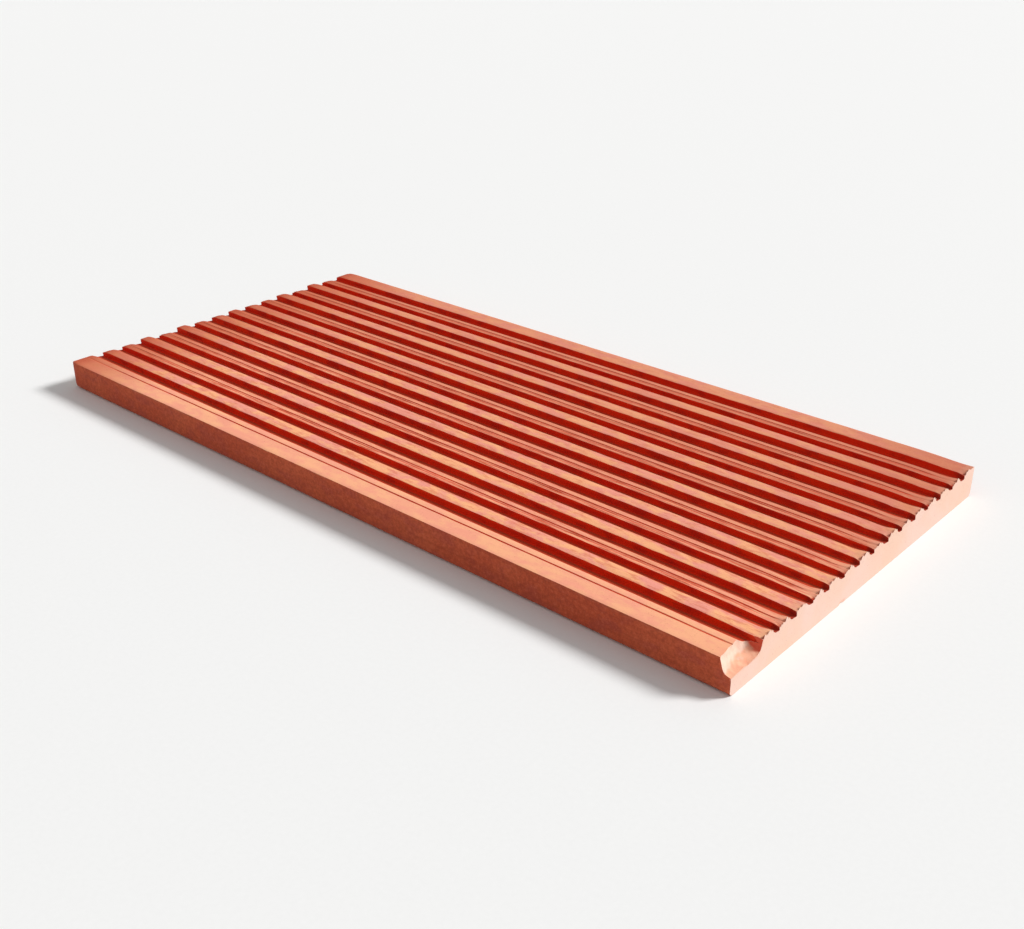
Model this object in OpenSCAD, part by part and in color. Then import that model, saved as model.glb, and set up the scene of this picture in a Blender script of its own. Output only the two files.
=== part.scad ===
// Split tile of fired terracotta, lying on its smooth wearing face with its ribbed back up.
// The body is one straight extrusion along X. Its ends are cut square across the ribs.
// Such tiles are extruded in pairs, back to back. Every second rib joined a pair until they were
// split, so it stands full height, and the ribs between carry a pair of score lines.
// Origin: middle of the smooth face. X runs along the ribs, Y across them and Z up.

/* [Tile] */
// Length, along the ribs
tile_length = 240; // [100:5:300]
// Width, across the ribs
tile_width = 115; // [114:0.5:140]
// Thickness, from the smooth face to the crests of the tallest ribs
tile_thickness = 9; // [6:0.5:20]

/* [Grooves] */
// Number of grooves in the back, one fewer than the ribs
groove_count = 15; // [1:1:15]
// Distance from one groove to the next
groove_pitch = 7; // [6.6:0.02:7.1]
// Width of the front rib, which is the tile's front edge, before its corners are rounded
front_rib_width = 7.3; // [6:0.1:8]
// Depth of the grooves below the tallest crests
groove_depth = 1.8; // [1.4:0.1:2.2]
// Width of a groove's floor behind a rib of full height
groove_floor = 1.6; // [1.2:0.1:1.8]
// Run of the flank that slopes down into each groove from a full-height rib in front of it
slope_run = 2.4; // [1.4:0.1:2.6]
// How far the floor reaches in under the rib behind it, where the mortar keys
undercut = 0.2; // [0:0.05:0.4]

/* [Ribs] */
// How much lower the scored ribs stand than the ribs that joined the pair
scored_drop = 0.3; // [0:0.05:0.5]
// Width and depth of a score line
score_size = 0.4; // [0.2:0.05:0.5]
// Distance from one score line of a pair to the other
score_spacing = 0.75; // [0.6:0.05:0.9]
// Distance from a scored rib's front corner to its first line
score_inset = 0.95; // [0.6:0.05:1]
// Distance from the front rib's rear corner to its single line
front_score_inset = 2; // [1:0.1:3]

/* [Edges] */
// Radius of each rib's shoulder above the sloping flank
slope_shoulder_radius = 1.5; // [0.3:0.1:2]
// Radius of each rib's shoulder above the undercut flank
steep_shoulder_radius = 0.35; // [0.1:0.05:0.5]
// Radius along the two long edges of the smooth face
face_edge_radius = 1.2; // [0.2:0.1:2]
// Radius along the two long edges of the back
back_edge_radius = 0.6; // [0.2:0.1:2]

/* [Hidden] */
$fn = 64;
clay = "#cf7d5d";
// How far a cutting shape stands clear of the surface that it cuts
clear = 1;
front_y = -tile_width / 2;
back_y = tile_width / 2;
plate_thickness = tile_thickness - groove_depth;
groove_mouth = slope_run + groove_floor - undercut;
crest_width = groove_pitch - groove_mouth;

// What a round takes off a convex corner between the edges that run from it towards a and b.
module corner_waste(corner, a, b, radius) {
    to_a = (a - corner) / norm(a - corner);
    to_b = (b - corner) / norm(b - corner);
    inward = (to_a + to_b) / norm(to_a + to_b);
    half_angle = acos(to_a * to_b) / 2;
    reach = radius / tan(half_angle);
    centre = corner + inward * radius / sin(half_angle);
    difference() {
        polygon([corner - inward * clear, corner + reach * to_a, centre, corner + reach * to_b]);
        translate(centre)
            circle(r = radius);
    }
}

// One rib standing on the plate. Its crest runs from 0 to width, between an undercut flank in front
// and a sloping one behind. An end rib has the tile's side in place of one of them.
module rib(width, height, undercut_front = true, sloping_rear = true) {
    lean = undercut_front ? undercut * height / groove_depth : 0;
    run = sloping_rear ? slope_run * height / groove_depth : 0;
    front_foot = [lean, 0];
    rear_foot = [width + run, 0];
    front_top = [0, height];
    rear_top = [width, height];
    front_radius = undercut_front ? steep_shoulder_radius : back_edge_radius;
    rear_radius = sloping_rear ? slope_shoulder_radius : back_edge_radius;
    difference() {
        polygon([front_foot, rear_foot, rear_top, front_top]);
        corner_waste(front_top, front_foot, rear_top, front_radius);
        corner_waste(rear_top, rear_foot, front_top, rear_radius);
    }
}

// A score line that runs along a crest of this height, with its front side at y.
module score(y, height) {
    translate([y, height - score_size])
        square([score_size, score_size + clear]);
}

// The rib at the tile's front edge, with its one score line.
module front_rib(height) {
    difference() {
        rib(front_rib_width, height, undercut_front = false);
        score(front_rib_width - front_score_inset, height);
    }
}

// A rib that kept clear of its twin: lower, with a pair of score lines.
module scored_rib(height) {
    difference() {
        rib(crest_width, height);
        for (line = [0, 1])
            score(score_inset + line * score_spacing, height);
    }
}

// The plate under the ribs, rounded along the edges of the smooth face.
module plate_section() {
    front_foot = [front_y, 0];
    back_foot = [back_y, 0];
    difference() {
        translate(front_foot)
            square([tile_width, plate_thickness]);
        corner_waste(front_foot, back_foot, [front_y, plate_thickness], face_edge_radius);
        corner_waste(back_foot, front_foot, [back_y, plate_thickness], face_edge_radius);
    }
}

// The whole section across the ribs, with Y to the right and the crests at the top.
module tile_section() {
    scored_height = groove_depth - scored_drop;
    plate_section();
    translate([front_y, plate_thickness]) {
        front_rib(scored_height);
        for (i = [1 : groove_count]) {
            rib_y = front_rib_width + groove_mouth + (i - 1) * groove_pitch;
            translate([rib_y, 0])
                if (i == groove_count)
                    rib(tile_width - rib_y, groove_depth, sloping_rear = false);
                else if (i % 2 == 1)
                    rib(crest_width, groove_depth);
                else
                    scored_rib(scored_height);
        }
    }
}

module tile() {
    color(clay)
        translate([-tile_length / 2, 0, 0])
            rotate([90, 0, 90])
                linear_extrude(height = tile_length)
                    tile_section();
}

tile();
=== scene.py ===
"""A split tile of fired terracotta, lying on its smooth face with its ribbed back up."""

import math

import bmesh
import bpy
import numpy as np
from mathutils import Matrix, Vector, noise
from mathutils.bvhtree import BVHTree


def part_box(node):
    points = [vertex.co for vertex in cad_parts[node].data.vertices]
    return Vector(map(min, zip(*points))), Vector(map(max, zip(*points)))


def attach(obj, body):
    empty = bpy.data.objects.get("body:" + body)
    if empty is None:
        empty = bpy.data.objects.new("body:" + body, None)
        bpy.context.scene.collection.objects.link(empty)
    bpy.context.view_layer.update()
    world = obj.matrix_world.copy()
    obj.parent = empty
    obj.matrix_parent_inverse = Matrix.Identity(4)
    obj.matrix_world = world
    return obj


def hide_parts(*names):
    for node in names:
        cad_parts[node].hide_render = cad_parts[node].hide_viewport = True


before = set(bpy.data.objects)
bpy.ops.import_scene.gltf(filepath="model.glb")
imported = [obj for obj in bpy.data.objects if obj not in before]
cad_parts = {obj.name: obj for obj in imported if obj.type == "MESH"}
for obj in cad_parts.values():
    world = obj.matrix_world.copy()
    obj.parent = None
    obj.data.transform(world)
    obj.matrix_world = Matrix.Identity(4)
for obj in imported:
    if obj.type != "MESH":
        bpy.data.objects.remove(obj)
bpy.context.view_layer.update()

# ---------------------------------------------------------------------------------------------
# Camera. It stands about one and a half tile lengths from the tile's middle, off the front right
# corner and above it, so that the ribs run away to the left.
# ---------------------------------------------------------------------------------------------
camera = bpy.data.objects.new("camera", bpy.data.cameras.new("camera"))
bpy.context.collection.objects.link(camera)
camera.data.sensor_width = 36
camera.data.lens = 45.2
camera.data.clip_start = 0.01
camera.location = (0.2260, -0.2447, 0.1591)
aim_point = Vector((0.018, -0.008, 0.0))
camera.rotation_euler = (aim_point - camera.location).to_track_quat("-Z", "Y").to_euler()
bpy.context.scene.camera = camera
bpy.context.scene.view_settings.view_transform = "Standard"


# ---------------------------------------------------------------------------------------------
# Studio floor. A pale seamless floor of matt white board, wide enough to fill the camera's view,
# just under the tile. It takes the tile's shadow.
# ---------------------------------------------------------------------------------------------
class Slip:
    """A value, colour or vector in a finish. Sums written with it add the Math nodes they need."""

    def __init__(self, tree, socket=None):
        self.tree = tree
        self.socket = socket

    def lay(self, kind, settings=None, sockets=None, out=0):
        """Adds a node: its settings first, then the values or links of its sockets."""
        node = self.tree.nodes.new("ShaderNode" + kind)
        for name, value in (settings or {}).items():
            setattr(node, name, value)
        for name, value in (sockets or {}).items():
            if isinstance(value, Slip):
                self.tree.links.new(value.socket, node.inputs[name])
            else:
                node.inputs[name].default_value = value
        return Slip(self.tree, node.outputs[out]) if len(node.outputs) else None

    def worked(self, operation, *terms):
        """Adds one Math node, which works these terms out."""
        return self.lay("Math", {"operation": operation}, dict(enumerate(terms)))

    def __add__(self, other):
        return self.worked("ADD", self, other)

    def __radd__(self, other):
        return self.worked("ADD", other, self)

    def __sub__(self, other):
        return self.worked("SUBTRACT", self, other)

    def __rsub__(self, other):
        return self.worked("SUBTRACT", other, self)

    def __mul__(self, other):
        return self.worked("MULTIPLY", self, other)

    def __abs__(self):
        return self.worked("ABSOLUTE", self)


def new_finish(name):
    """An empty material, and the Slip that its nodes are laid with."""
    finish = bpy.data.materials.new(name)
    finish.use_nodes = True
    finish.node_tree.nodes.clear()
    return finish, Slip(finish.node_tree)


def tint(red, green, blue):
    """A colour as it is seen, from 0 to 255, in the linear values that a shader takes."""
    seen = (red / 255, green / 255, blue / 255)
    return (*(s / 12.92 if s <= 0.04045 else ((s + 0.055) / 1.055) ** 2.4 for s in seen), 1)


def blended(share, first, second):
    """The first colour with this share of the second over it."""
    return share.lay("Mix", {"data_type": "RGBA"}, {0: share, 6: first, 7: second}, 2)


floor_half = 4.0
floor_clearance = 0.00003
bm = bmesh.new()
bmesh.ops.create_grid(bm, x_segments=1, y_segments=1, size=floor_half)
bmesh.ops.translate(bm, verts=bm.verts, vec=(0, 0, -floor_clearance))
floor_mesh = bpy.data.meshes.new("studio_floor")
bm.to_mesh(floor_mesh)
bm.free()
floor = bpy.data.objects.new("studio_floor", floor_mesh)
bpy.context.collection.objects.link(floor)

board, slip = new_finish("matt_white_board")
where = slip.lay("TexCoord", out="Object")
fibre = slip.lay("TexNoise", sockets={"Vector": where, "Scale": 900, "Detail": 3})
board_colour = blended(fibre, tint(241, 241, 240), tint(245, 245, 244))
board_face = slip.lay("BsdfPrincipled", sockets={"Base Color": board_colour, "Roughness": 0.9})
slip.lay("OutputMaterial", sockets={"Surface": board_face})
floor_mesh.materials.append(board)

# ---------------------------------------------------------------------------------------------
# Studio light. One broad lamp behind the tile's right end lights that end fully and grazes the
# back. The front edge and the grooves are left to the soft light of a white room all round.
# ---------------------------------------------------------------------------------------------
lamp = bpy.data.objects.new("window_lamp", bpy.data.lights.new("window_lamp", "SUN"))
bpy.context.collection.objects.link(lamp)
lamp.data.energy = 3.3
lamp.data.angle = math.radians(16)
lamp_bearing = math.radians(50)
lamp_height = math.radians(36)
lamp_from = Vector((
    math.cos(lamp_height) * math.cos(lamp_bearing),
    math.cos(lamp_height) * math.sin(lamp_bearing),
    math.sin(lamp_height),
))
lamp.rotation_euler = (-lamp_from).to_track_quat("-Z", "Y").to_euler()

room = bpy.data.worlds.new("white_room")
bpy.context.scene.world = room
room.use_nodes = True
room.node_tree.nodes.clear()
slip = Slip(room.node_tree)

# The room is plain white where it is seen or mirrored, and dimmer where it only gives light.
room_level = 0.38
seen = slip.lay("LightPath", out="Is Camera Ray")
mirrored = slip.lay("LightPath", out="Is Glossy Ray")
through = slip.lay("LightPath", out="Is Transmission Ray")
shown = seen.worked("MAXIMUM", seen.worked("MAXIMUM", seen, mirrored), through)
strength = shown * (1 - room_level) + room_level
walls = slip.lay("Background", sockets={"Color": (1, 1, 1, 1), "Strength": strength})
slip.lay("OutputWorld", sockets={"Surface": walls})

# ---------------------------------------------------------------------------------------------
# The tile's body. One column of stiff clay, pressed through a die that gives it its section and
# cut to length with a wire. It is drawn here in millimetres, and brought to metres at the end.
# ---------------------------------------------------------------------------------------------
mm = 0.001
tile_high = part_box("tile")[1]
half_length = tile_high.x / mm
half_width = tile_high.y / mm
thickness = tile_high.z / mm
groove_count = 15
groove_pitch = 7.0
groove_depth = 1.8
groove_floor = 1.6
slope_run = 2.4
undercut = 0.2
front_rib_width = 7.3
scored_drop = 0.3
score_size = 0.4
score_spacing = 0.75
score_inset = 0.95
front_score_inset = 2.0
score_lean = 0.12
score_lip = 0.05
slope_round = 1.5
steep_round = 0.35
foot_round = 0.15
face_round = 1.2
back_round = 0.6
groove_bed = thickness - groove_depth
groove_mouth = slope_run + groove_floor - undercut
crest_width = groove_pitch - groove_mouth
scored_crest = thickness - scored_drop
first_rib = -half_width + front_rib_width + groove_mouth
front_score = -half_width + front_rib_width - front_score_inset


def score_corners(start, crest):
    """The four corners of a score line pressed into a crest of this height."""
    bed = crest - score_size
    return [
        (start - score_lip, crest, 0),
        (start + score_lean, bed, 0),
        (start + score_size - score_lean, bed, 0),
        (start + score_size + score_lip, crest, 0),
    ]


def steep_front(start, crest):
    """The undercut flank in front of a rib, from its foot to the crest."""
    lean = undercut * (crest - groove_bed) / groove_depth
    return [(start + lean, groove_bed, foot_round), (start, crest, steep_round)]


def sloping_rear(start, width, crest):
    """The flank that slopes down behind a rib, from the crest to its foot."""
    run = slope_run * (crest - groove_bed) / groove_depth
    return [(start + width, crest, slope_round), (start + width + run, groove_bed, foot_round)]


# Each corner of the section is its place across the tile, its height and its rounding.
corners = [(-half_width, 0, face_round), (-half_width, scored_crest, back_round)]
corners += score_corners(front_score, scored_crest)
corners += sloping_rear(-half_width, front_rib_width, scored_crest)
for i in range(groove_count):
    start = first_rib + i * groove_pitch
    scored = i % 2 == 1
    crest = scored_crest if scored else thickness
    corners += steep_front(start, crest)
    if scored:
        corners += score_corners(start + score_inset, crest)
        corners += score_corners(start + score_inset + score_spacing, crest)
    if i < groove_count - 1:
        corners += sloping_rear(start, crest_width, crest)
corners += [(half_width, thickness, back_round), (half_width, 0, face_round)]

bm = bmesh.new()
section = [bm.verts.new((-half_length, y, z)) for y, z, rounding in corners]
bm.faces.new(section)
for vert, (y, z, rounding) in zip(section, corners):
    if not rounding:
        continue
    first, second = (edge.other_vert(vert).co - vert.co for edge in vert.link_edges)
    bmesh.ops.bevel(
        bm,
        geom=[vert],
        offset=rounding / math.tan(first.angle(second) / 2),
        offset_type="OFFSET",
        segments=max(2, min(5, round(rounding * 8))),
        profile=0.5,
        affect="VERTICES",
        clamp_overlap=True,
        material=-1,
    )

# Each side of the section is parted into short lengths, finest along the ribs.
smooth_face_part = 3.4
edge_part = 0.9
rib_part = 0.45
for edge in bm.edges[:]:
    low_end = min(v.co.z for v in edge.verts)
    part = edge_part if low_end < groove_bed - 0.2 else rib_part
    if low_end < 0.01 and edge.calc_length() > thickness:
        part = smooth_face_part
    cuts = math.ceil(edge.calc_length() / part) - 1
    if cuts > 0:
        bmesh.ops.subdivide_edges(bm, edges=[edge], cuts=cuts)

# The wire leaves a flat face at each end, parted into small squares for its drag marks. The
# first step along the ribs is a little longer than those marks are deep.
end_step = 0.11
first_square = 0.4
square = 0.9
bmesh.ops.spin(bm, geom=bm.verts[:] + bm.edges[:], axis=(1, 0, 0), dvec=(end_step, 0, 0), steps=1)
parted = [f for f in bm.faces if len(f.verts) > 4]
parted += [*parted[0].edges, *parted[0].verts]
upright_lines = np.arange(-half_width + first_square, half_width, square)
level_lines = np.arange(square, thickness, square)
planes = [((0, y, 0), (0, 1, 0)) for y in upright_lines]
planes += [((0, 0, z), (0, 0, 1)) for z in level_lines]
for at, away in planes:
    cut = bmesh.ops.bisect_plane(bm, geom=parted, dist=0.0001, plane_co=at, plane_no=away)
    parted = cut["geom"]
bmesh.ops.mirror(bm, geom=bm.verts[:] + bm.edges[:] + bm.faces[:], axis="X", merge_dist=0)

# Between the ends the column is one straight sweep along X, in zones with steps of one length
# each, finest next to the cuts. A zone is that length and its steps, and the coarse one, the
# second, fills what the others leave.
coarse_step = 2.1
zones = [(0.5, 5), (coarse_step, 0), (1.8, 56), (0.6, 9), (0.3, 11)]
middle_run = 2 * (half_length - end_step) - sum(length * steps for length, steps in zones)
coarse_steps = round(middle_run / coarse_step)
zones[1] = (middle_run / coarse_steps, coarse_steps)
rim = [e for e in bm.edges if e.is_boundary and e.verts[0].co.x < 0]
drawn = rim + list(dict.fromkeys(v for e in rim for v in e.verts))
sweeps = []
for length, steps in zones:
    known = set(bm.edges)
    drawn = bmesh.ops.spin(
        bm, geom=drawn, axis=(1, 0, 0), dvec=(length * steps, 0, 0), steps=1
    )["geom_last"]
    added = [e for e in bm.edges if e not in known]
    along_ribs = [e for e in added if abs(e.verts[0].co.x - e.verts[1].co.x) > 0.1]
    sweeps.append((along_ribs, steps - 1))
for along_ribs, cuts in sweeps:
    bmesh.ops.subdivide_edges(bm, edges=along_ribs, cuts=cuts)
bmesh.ops.remove_doubles(bm, verts=[v for v in bm.verts if v.is_boundary], dist=0.001)
bmesh.ops.recalc_face_normals(bm, faces=bm.faces[:])
tile_mesh = bpy.data.meshes.new("terracotta_tile")
bm.to_mesh(tile_mesh)
bm.free()
tile = bpy.data.objects.new("terracotta_tile", tile_mesh)
bpy.context.collection.objects.link(tile)


# ---------------------------------------------------------------------------------------------
# What drawing, cutting, drying and splitting do to the clay. The die drags fine lines along the
# column, the ribs wander a little, and the crests that held a pair together come away torn.
# ---------------------------------------------------------------------------------------------
def places_and_normals(mesh):
    """Where each point of a mesh lies and which way the surface faces there, one row for each."""
    places = np.empty(len(mesh.vertices) * 3)
    mesh.vertices.foreach_get("co", places)
    facings = np.empty(len(mesh.vertices) * 3)
    mesh.vertex_normals.foreach_get("vector", facings)
    return places.reshape(-1, 3), facings.reshape(-1, 3)


def lumps(at, size, seed):
    """Smooth noise from about -1 to 1 at each point, in lumps of this size along X, Y and Z."""
    return np.array([noise.noise(p) for p in at / size + seed])


def rising(values, low, high):
    """0 below low, 1 above high, and a smooth rise between them."""
    share = np.clip((values - low) / (high - low), 0, 1)
    return share * share * (3 - 2 * share)


def near(distance, reach):
    """1 where the distance is 0, about a third at this reach either way, and 0 well beyond it."""
    return np.exp(-((distance / reach) ** 2))


def rib_of(y):
    """Each point's rib and how far back on it. The front rib is -1, and even ribs are torn."""
    place = (y - first_rib) / groove_pitch
    rib = np.clip(np.floor(place), -1, groove_count - 1).astype(int)
    return rib, (place - rib) * groove_pitch


points, normals = places_and_normals(tile_mesh)
x, y, z = points.T.copy()
from_left = x + half_length
from_right = half_length - x
rib, back = rib_of(y)
torn = (rib >= 0) & (rib % 2 == 0)
crest = np.where(torn, thickness, scored_crest)
height = np.clip((z - groove_bed) / (crest - groove_bed), 0, 1)
on_rib = rising(height, 0.1, 0.8) * (np.abs(y) < half_width - 0.01)
on_crest = rising(height, 0.8, 1.0)
cut_end = np.abs(x) > half_length - 0.001

# The skin is a little uneven, with fine drag lines, and lies a trifle inside the die's outline.
shrinkage = 0.03
skin = 0.028 * lumps(points, (9, 3, 3), 3.1) + 0.016 * lumps(points, (1.9, 1.3, 1.3), 11.7)
drag = 0.018 * lumps(points, (70, 0.9, 0.9), 23.5)
push = ((skin + drag - shrinkage) * ~cut_end)[:, None] * normals

# The grooves are deepest where they reach in under the rib behind.
corner_depth = 0.2
last_rib = first_rib + (groove_count - 1) * groove_pitch
deepest = near(back - groove_pitch, 0.8) + near(back - 0.15, 0.5)
deepest *= (1 - rising(height, 0.0, 0.35)) * (z > groove_bed - 0.01) * (y < last_rib - 0.2)
push[:, 2] -= corner_depth * deepest

# All crests are worn, least next to the left end, and the torn ones also lose a thin flake here
# and there. The beds of the score lines go down with them.
wear = 0.21
left_spared = 0.85
one_line = 0.5
two_lines = 1.3
flake = 0.04 * lumps(points, (3.0, 1.4, 9), 31.3) + 0.035 * lumps(points, (9, 3.5, 9), 37.9)
tear = 0.045 * lumps(points, (1.3, 0.7, 9), 35.1)
from_line = np.where(rib < 0, y - front_score, back - score_inset)
in_score = ~torn & (height > 0.4)
in_score &= (z < scored_crest - 0.2) & (z > scored_crest - score_size - 0.05)
in_score &= (from_line > -0.1) & (from_line < np.where(rib < 0, one_line, two_lines))
worn_top = np.maximum(on_crest, in_score)
worn_top *= 1 - left_spared * near(from_left, 3)
push[:, 2] -= (wear + np.clip(flake + tear, -0.1, 0.14) * torn) * worn_top

# The shoulders of the ribs behind the front one are ragged, more so on the torn ones.
shoulder_wander = 0.13
shoulder_loss = 0.16
front_edge = near(back - 0.2, 0.4) * rising(height, 0.55, 0.95)
rear_edge = near(back - crest_width + 0.3, 0.8) * rising(height, 0.55, 0.95)
front_edge[rib < 0] = 0
rear_edge[(rib < 0) | (rib > groove_count - 2)] = 0
ragged = np.where(torn, 1.0, 0.45)
push[:, 1] += ragged * front_edge * shoulder_wander * lumps(points, (3.4, 40, 40), 41.1)
for edge, size, seed in ((front_edge, 2.6, 43.7), (rear_edge, 3.1, 47.3)):
    loss = np.clip(lumps(points, (size, 40, 40), seed), 0, 1)
    push[:, 2] -= ragged * edge * shoulder_loss * loss

# The long front edge of the back is nicked here and there.
nick_depth = 0.32
arris = near(y + half_width, 0.5) * rising(z, scored_crest - 0.5, scored_crest)
nick = np.clip(lumps(points, (1.7, 30, 30), 49.9) - 0.15, 0, 1)
nick += 0.25 * np.clip(lumps(points, (6, 30, 30), 51.3), 0, 1)
push[:, 1] += nick_depth * arris * nick
push[:, 2] -= nick_depth * arris * nick

# Each rib wanders a little along its length, and so do the score lines, which fill in places.
# The first line of a pair is fuller, and all of them are fuller towards the left end.
rib_wander = 0.10
score_wander = 0.05
fullest = 0.31
push[:, 1] += on_rib * rib_wander * lumps(points, (80, 9, 900), 53.9)
fill = 0.17 + 0.13 * ((rib >= 0) & (from_line < 0.6)) + 0.11 * lumps(points, (16, 4, 900), 59.3)
fill += 0.08 * (1 - rising(x, -half_length, -half_length + 90))
push[:, 2] += in_score * np.minimum(fill, fullest)
push[:, 1] += in_score * score_wander * lumps(points, (7, 4, 900), 61.7)


def wire_pull(rib):
    """How hard the wire catches each rib, from 0.4 to 1.1."""
    return 0.75 + 0.35 * np.sin(rib * 2.4 + 0.6)


def end_sink(x, rib):
    """How far the crests sink at the left end, and towards the burr on the right."""
    nose = 0.60 * near(x + half_length, 2.2)
    nose += 0.36 * near(x + half_length, 0.8)
    sag = 0.34 * near(np.clip(half_length - 2 - x, 0, None), 7)
    return nose * wire_pull(rib) + sag * (rib >= 0)


# The wire pulls the rib ends down where it enters, on the left, and the front edge back.
front_pull = 0.6
push[:, 2] -= end_sink(x, rib) * height
push[:, 1] += front_pull * near(from_left, 1.3) * rising(-y, half_width - 1, half_width)

# Where it leaves, on the right, it spares the front rib. On the others it turns the front corner
# of the end down, drags the rear corner up and back, and leaves a ragged burr with two teeth.
# The last rib has no groove behind it, so its rear corner only goes up.
front_drop = 0.5
rear_drag = 0.75
rear_rise = 0.14
burr_reach = 0.3
share = np.clip(back / crest_width, 0, 1)
turned = near(from_right, 0.9) * height * (rib >= 0) * (1 - rising(share, 0.1, 0.55))
push[:, 2] -= front_drop * turned * wire_pull(rib)
flared = (rib >= 0) & (rib < groove_count - 1)
flare = near(from_right, 2.2) * rising(height, 0.3, 0.9) * rising(share, 0.3, 0.85)
push[:, 1] += rear_drag * flare * flared * wire_pull(rib)
push[:, 2] += rear_rise * flare * (rib >= 0) * wire_pull(rib)
at_wire = near(from_right, burr_reach) * on_crest * (rib >= 0)
teeth = near(share - 0.76, 0.13) + 0.8 * near(share - 0.36, 0.09)
push[:, 2] += at_wire * np.clip(1.5 * teeth - 0.4, 0, None) * wire_pull(rib)

# The two cut faces carry the wire's drag marks, and lie a trifle inside the tile's length.
cut_depth = 0.045
marks = 0.022 * lumps(points, (9, 14, 0.8), 67.1) + 0.018 * lumps(points, (2, 2, 1.6), 71.9)
push[:, 0] -= np.sign(x) * cut_end * (cut_depth + marks)

# Nothing stands out past the tile's length, width and thickness.
points = points + push
points[:, 0] = np.clip(points[:, 0], -half_length, half_length)
points[:, 1] = np.clip(points[:, 1], -half_width, half_width)
points[:, 2] = np.clip(points[:, 2], 0, thickness)
tile_mesh.vertices.foreach_set("co", points.ravel())
tile_mesh.update()

# ---------------------------------------------------------------------------------------------
# Knocks. A shell-shaped flake is gone from the front right corner of the back, down into the
# first groove, and a small spall from the lower edge of the right end.
# ---------------------------------------------------------------------------------------------
knocks = bmesh.new()


def knock(centre, radii, blunt, turn, finer, keep, seed):
    """Adds a lumpy ball to the knocks, squarer when blunt is high. Each plane in keep, a point on
    it and the way out, cuts the ball off."""
    ball = bmesh.new()
    bmesh.ops.create_icosphere(ball, subdivisions=finer, radius=1)
    for vert in ball.verts:
        swollen = sum(abs(a) ** blunt for a in vert.co) ** (1 / blunt)
        spot = Vector(a * b / swollen for a, b in zip(vert.co, radii))
        spot.rotate(Matrix.Rotation(math.radians(turn), 3, "Z"))
        swell = 0.42 * noise.noise(spot / 2.4 + Vector((seed, 0, 0)))
        swell += 0.10 * noise.noise(spot / 0.8 + Vector((0, seed, 0)))
        vert.co = spot * (1 + swell / spot.length) + Vector(centre)
    for at, away in keep:
        cut = bmesh.ops.bisect_plane(
            ball,
            geom=ball.verts[:] + ball.edges[:] + ball.faces[:],
            dist=0.0001,
            plane_co=at,
            plane_no=away,
            clear_outer=True,
        )["geom_cut"]
        bmesh.ops.edgeloop_fill(ball, edges=[e for e in cut if isinstance(e, bmesh.types.BMEdge)])
    bmesh.ops.recalc_face_normals(ball, faces=ball.faces[:])
    loose = bpy.data.meshes.new("knock")
    ball.to_mesh(loose)
    ball.free()
    knocks.from_mesh(loose)


chip_centre = (half_length + 3, -half_width + 4, thickness + 2.4)
chip_radii = (6.4, 8.1, 6.7)
chip_keep = [
    ((half_length + 1, 0, 0), (1, 0, 0)),
    ((0, 0, thickness + 0.6), (0, 0, 1)),
    ((0, -half_width - 0.7, 0), (0, -1, 0)),
]
knock(chip_centre, chip_radii, blunt=4.5, turn=8, finer=6, keep=chip_keep, seed=5.3)
spall_centre = (half_length + 1.2, -11.5, -0.9)
spall_radii = (1.8, 2.6, 2.2)
knock(spall_centre, spall_radii, blunt=2, turn=0, finer=4, keep=[], seed=8.1)
knock_mesh = bpy.data.meshes.new("knocks")
knocks.to_mesh(knock_mesh)
knock_surface = BVHTree.FromBMesh(knocks)
knocks.free()
knock_tool = bpy.data.objects.new("knocks", knock_mesh)
bpy.context.collection.objects.link(knock_tool)
taking = tile.modifiers.new("knocks", "BOOLEAN")
taking.operation = "DIFFERENCE"
taking.solver = "EXACT"
taking.object = knock_tool
settled = tile.evaluated_get(bpy.context.evaluated_depsgraph_get())
tile_mesh = bpy.data.meshes.new_from_object(settled)
tile.modifiers.clear()
bpy.data.objects.remove(knock_tool)
tile.data = tile_mesh

# What happened to the clay is kept with the mesh, for the finish: which ribs were split from
# their twins, which were scored in pairs, how far the wire sank each point, where the score
# lines run, what is a fresh break and which edges stand proud.
points, normals = places_and_normals(tile_mesh)
count = len(points)
rib, back = rib_of(points[:, 1])
split = ((rib >= 0) & (rib % 2 == 0)).astype(float)
behind_lines = 0.45
paired = ((rib % 2 == 1) & (rib >= 0)) * np.where(back < score_inset + 0.9, 1, behind_lines)
sunk = end_sink(points[:, 0], rib)

# The first line of a pair is fainter, and all lines fade towards the burr.
fainter = 0.55
from_line = np.where(rib >= 0, back - score_inset, points[:, 1] - front_score + 0.1)
unsunk = points[:, 2] + sunk
scratch = (unsunk < scored_crest - 0.28) & (unsunk > scored_crest - score_size - 0.45)
scratch &= (rib % 2 == 1) & (from_line > -0.25) & (from_line < np.where(rib >= 0, 1.4, 0.75))
scratch = scratch * np.where((rib >= 0) & (from_line < 0.5), fainter, 1)
scratch *= 1 - rising(points[:, 0], half_length - 9, half_length - 1.2)

# A break is what lies on the surface of a knock.
touching = 0.02
broken = np.zeros(count)
for i in np.flatnonzero((points[:, 0] > half_length - 10) & (points[:, 1] < 0)):
    broken[i] = knock_surface.find_nearest(points[i], touching)[0] is not None

# A point stands proud where it is outside the middle of its neighbours.
ends = np.empty(len(tile_mesh.edges) * 2, int)
tile_mesh.edges.foreach_get("vertices", ends)
ends = ends.reshape(-1, 2)
around = np.zeros((count, 3))
neighbours = np.zeros(count)
for a, b in (ends.T, ends.T[::-1]):
    np.add.at(around, a, points[b])
    np.add.at(neighbours, a, 1)
proud = ((points - around / neighbours[:, None]) * normals).sum(axis=1)

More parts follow.
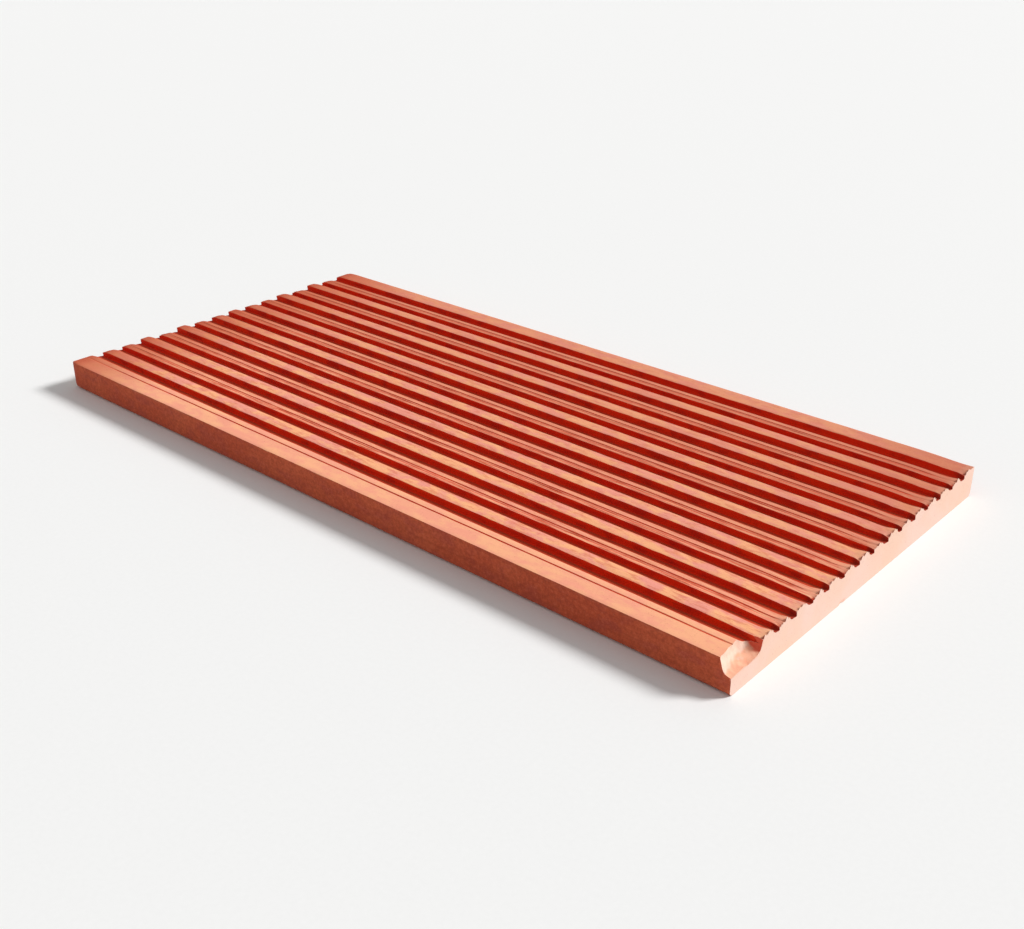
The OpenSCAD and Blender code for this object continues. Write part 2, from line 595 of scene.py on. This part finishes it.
kept_marks = {
    "split": split,
    "paired": paired,
    "scratch": scratch,
    "broken": broken,
    "proud": proud,
    "sunk": sunk,
}
for name, values in kept_marks.items():
    kept = tile_mesh.attributes.new(name, "FLOAT", "POINT")
    kept.data.foreach_set("value", values.astype(np.float32))
tile_mesh.transform(Matrix.Scale(mm, 4))
tile_mesh.shade_smooth()
tile_mesh.set_sharp_from_angle(angle=math.radians(40))

# ---------------------------------------------------------------------------------------------
# Fired clay. Red terracotta, unglazed: mottled skin with fine grit, streaked along the drawing,
# deeper red down in the grooves, paler and pinker where it was torn, cut or broken. Some of the
# colour is painted light and shade: shade in the grooves, the score lines, towards the back and at
# the left end, and light on the back side, the right end and the breaks.
# ---------------------------------------------------------------------------------------------
clay, slip = new_finish("fired_terracotta")
at = slip.lay("TexCoord", out="Object")
along, across, up = (
    slip.lay("SeparateXYZ", sockets={0: at}, out=axis) * (1 / mm) for axis in "XYZ"
)
left_gap = along + half_length
right_gap = half_length - along
facing = slip.lay("NewGeometry", out="Normal")
face_x, face_y, face_z = (
    slip.lay("SeparateXYZ", sockets={0: facing}, out=axis) for axis in "XYZ"
)


def step(value, none, full):
    """0 at none and beyond, 1 at full and beyond, and a smooth change between them."""
    ends = {"Value": value, "From Min": none, "From Max": full}
    return slip.lay("MapRange", {"interpolation_type": "SMOOTHSTEP"}, ends)


def specks(size, detail, roughness, seed):
    """Cloudy noise from 0 to 1. Size is its grain in millimetres along X, Y and Z."""
    spread = tuple(1 / (s * mm) for s in size)
    shifted = slip.lay("VectorMath", {"operation": "MULTIPLY"}, {0: at, 1: spread})
    moved = slip.lay("VectorMath", {"operation": "ADD"}, {0: shifted, 1: (seed, seed, seed)})
    sockets = {"Vector": moved, "Scale": 1.0, "Detail": detail, "Roughness": roughness}
    return slip.lay("TexNoise", sockets=sockets)


def kept_mark(name):
    """One of the marks that were kept with the mesh."""
    return slip.lay("Attribute", {"attribute_name": name}, out="Fac")


# What mottles the clay, from clouds to fine grit. A smear, in millimetres, shifts the edge of a
# colour.
cloud = specks((22, 14, 14), 3.0, 0.6, 1.7)
blotch = specks((6.5, 3.5, 3.5), 3.0, 0.6, 9.1)
streak = specks((55, 0.9, 0.9), 2.0, 0.5, 4.4)
flecks = specks((3.6, 1.0, 1.0), 3.0, 0.65, 7.7)
scuff = specks((9, 0.5, 0.5), 3.0, 0.7, 5.2)
grain = specks((0.9, 0.9, 0.9), 4.0, 0.75, 8.5)
grit = specks((0.5, 0.5, 0.5), 4.0, 0.75, 6.8)
fine = specks((0.26, 0.26, 0.26), 2.0, 0.6, 2.9)
smear = (specks((3.2, 1.1, 1.1), 3.0, 0.6, 3.3) - 0.5) * 0.9

# Where each finish lies. A crest's level is the one that it had before the wire sank it. What
# faces up at that level is old skin, also next to a break.
torn_rib = kept_mark("split")
paired = kept_mark("paired")
scratch = kept_mark("scratch")
crest_level = up + kept_mark("sunk")
at_crest = step(crest_level, scored_crest - 0.7, scored_crest - 0.4)
old_skin = step(face_z, 0.75, 0.92) * step(crest_level, scored_crest - 0.4, scored_crest - 0.25)
fresh = kept_mark("broken") * (1 - old_skin)
wire_cut = step(abs(face_x), 0.55, 0.8) * (1 - fresh)
burr = at_crest * step(right_gap, 0.3, 0.1) * step(face_x, -0.3, 0.1)
on_top = at_crest * step(face_z, 0.4, 0.8) * (1 - wire_cut)
torn_top = torn_rib * on_top

# The groove's red reaches up to the shoulders, higher on the steep flanks, and it smears there.
shoulder = crest_level - torn_rib * scored_drop + smear * 0.6
below_shoulder = 1 - step(shoulder, scored_crest - 0.8, scored_crest - 0.3)
steep = 1 - step(face_y + smear * 0.5, -0.88, -0.5)
flanks = steep.worked("MAXIMUM", below_shoulder, steep)
between_edges = 1 - step(abs(across), half_width - 2.0, half_width - 1.4)
in_groove = step(up, groove_bed - 0.8, groove_bed - 0.5) * flanks * between_edges
in_groove = in_groove * (1 - wire_cut) * (1 - fresh) * (1 - step(scratch, 0.02, 0.25))

# The skin all over the tile. The side that faces back is painted paler, a painted lit look.
colour = blended(step(cloud, 0.35, 0.65), tint(196, 84, 52), tint(204, 95, 60))
colour = blended(step(blotch, 0.45, 0.70) * 0.7, colour, tint(180, 78, 60))
colour = blended(step(streak, 0.5, 0.75) * 0.35, colour, tint(168, 66, 40))
# Painted light: the side that faces back is paler, as a lit side looks.
colour = blended(step(face_y, 0.5, 0.9) * 0.6, colour, tint(216, 134, 102))
colour = blended(step(grain, 0.42, 0.66) * 0.42, colour, tint(146, 60, 40))
colour = blended(step(grain, 0.48, 0.26) * 0.30, colour, tint(224, 130, 94))

# The crests are paler. The scored ones are scuffed in fine lines, and the torn ones flecked.
# The scored ones are also painted darker towards the back, a painted shade.
rear = step(across, -half_width + 2.5, half_width - 2.5)
crest_skin = blended(step(blotch, 0.36, 0.64), tint(252, 180, 138), tint(247, 164, 136))
crest_skin = blended(paired * 0.62, crest_skin, tint(240, 132, 106))
# Painted shade: the scored crests darken towards the back.
crest_skin = blended(rear * paired, crest_skin, tint(206, 108, 80))
crest_skin = blended(paired * step(scuff, 0.50, 0.60) * 0.85, crest_skin, tint(180, 78, 46))
crest_skin = blended(paired * step(scuff, 0.47, 0.38) * 0.7, crest_skin, tint(254, 186, 142))
colour = blended(on_top, colour, crest_skin)
torn_clay = blended(step(blotch, 0.40, 0.60), tint(251, 179, 131), tint(241, 156, 138))
torn_clay = blended(step(flecks, 0.48, 0.66) * 0.55, torn_clay, tint(216, 116, 88))
colour = blended(torn_top, colour, torn_clay)

# The crests are painted darker towards the back and the left end, and so is the whole tile at its
# very left end, all painted shade. They are darker towards the far right corner, and dusty next to
# the burr. The score lines show red, which carries painted shade for their narrow slots.
# Painted shade: all crests darken towards the back.
colour = blended(on_top * rear * 0.62, colour, tint(212, 128, 100))
far_corner = on_top * step(across, 0, 50) * step(right_gap, 45, 0)
colour = blended(far_corner * 0.6, colour, tint(196, 104, 80))
dusty = on_top * step(right_gap - smear * 2, 2.8, 1.0)
colour = blended(dusty * 0.3, colour, tint(218, 164, 136))
# Painted shade: the score lines are a deep red that stands in for the shade in their slots.
colour = blended(step(scratch, 0.15, 0.8) * 0.9, colour, tint(232, 68, 30))
# Painted shade: the crests darken towards the left end, and the whole tile at its very end.
left_run = on_top * step(left_gap, 45, -2)
colour = blended(left_run * 0.88, colour, tint(199, 100, 68))
colour = blended(step(left_gap, 7, 1) * 0.6, colour, tint(184, 74, 48))

# The grooves are deep red, partly the redder fired skin and partly painted shade, the saturated
# red of shaded grooves. They are streaked and blotched, browner on the slopes that face back, and
# with painted shade darkest next to the right end.
deep = blended(step(streak, 0.35, 0.7), tint(240, 58, 10), tint(226, 42, 8))
deep = blended(step(blotch, 0.45, 0.65) * 0.6, deep, tint(178, 34, 20))
deep = blended(step(face_z, 0.85, 0.95) * 0.7, deep, tint(244, 46, 12))
deep = blended(step(face_y, -0.01, 0.1) * 0.9, deep, tint(190, 72, 42))
# Painted shade: the grooves darken next to the right end.
deep = blended(step(right_gap, 2.4, 1.2) * 0.7, deep, tint(140, 34, 20))
# The groove red is partly painted shade.
colour = blended(in_groove * 0.92, colour, deep)

# The cut faces are pale clay. The right one and its burr are painted paler and less red, painted
# light for the lamp on that end.
cut_clay = blended(step(cloud, 0.35, 0.65), tint(232, 194, 173), tint(233, 198, 183))
# Painted light: the right cut face stays paler than the left.
cut_clay = blended(step(along, 0, -100), cut_clay, tint(214, 142, 108))
colour = blended(wire_cut.worked("MAXIMUM", wire_cut, burr), colour, cut_clay)

# The breaks are pale clay with painted light and shade: palest where they face the end and the
# lamp, a painted highlight, and deep red where they face the front, a painted shade.
broken_clay = blended(step(blotch, 0.4, 0.7), tint(244, 184, 152), tint(238, 168, 138))
# Painted highlight on the faces of the breaks that face the lamp.
broken_clay = blended(step(face_x, 0.45, 0.8) * 0.8, broken_clay, tint(240, 208, 190))
# Painted shade on the faces of the breaks that face the front.
broken_clay = blended(step(face_y, -0.3, -0.7) * 0.85, broken_clay, tint(216, 54, 22))
colour = blended(fresh, colour, broken_clay)

# Edges that stand proud are worn pale, partly wear and partly a painted highlight, and the rims of
# the breaks get a near-white painted highlight. Dark grit shows all over, and light grit outside
# the grooves.
# Wear and painted highlight: edges that stand proud are paler.
worn_and_highlit = step(kept_mark("proud"), 0.02, 0.10) * (1 - in_groove) * (1 - wire_cut)
colour = blended(worn_and_highlit * 0.35, colour, tint(246, 190, 158))
# Painted highlight along the rims of the breaks.
colour = blended(worn_and_highlit * fresh * 0.8, colour, tint(254, 226, 200))
colour = blended(step(grit, 0.56, 0.76) * 0.34, colour, tint(120, 52, 36))
colour = blended(step(grit, 0.42, 0.24) * 0.22 * (1 - in_groove), colour, tint(240, 176, 140))

# The surface is dull, dullest in the grooves, and its grain is a hair deep.
grain_depth = 0.07
dullness = 0.80 + (fine - 0.5) * 0.18 + in_groove * 0.08
relief = grit * 0.55 + fine * 0.45 + streak * 0.5 + flecks * torn_top * 1.6
bump_sockets = {"Strength": 0.6, "Distance": grain_depth * mm, "Height": relief}
bump = slip.lay("Bump", sockets=bump_sockets)
clay_face = slip.lay("BsdfPrincipled", sockets={
    "Base Color": colour,
    "Roughness": dullness,
    "Normal": bump,
    "Specular IOR Level": 0.2,
})
slip.lay("OutputMaterial", sockets={"Surface": clay_face})
tile_mesh.materials.clear()
tile_mesh.materials.append(clay)

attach(tile, "root")
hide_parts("tile")
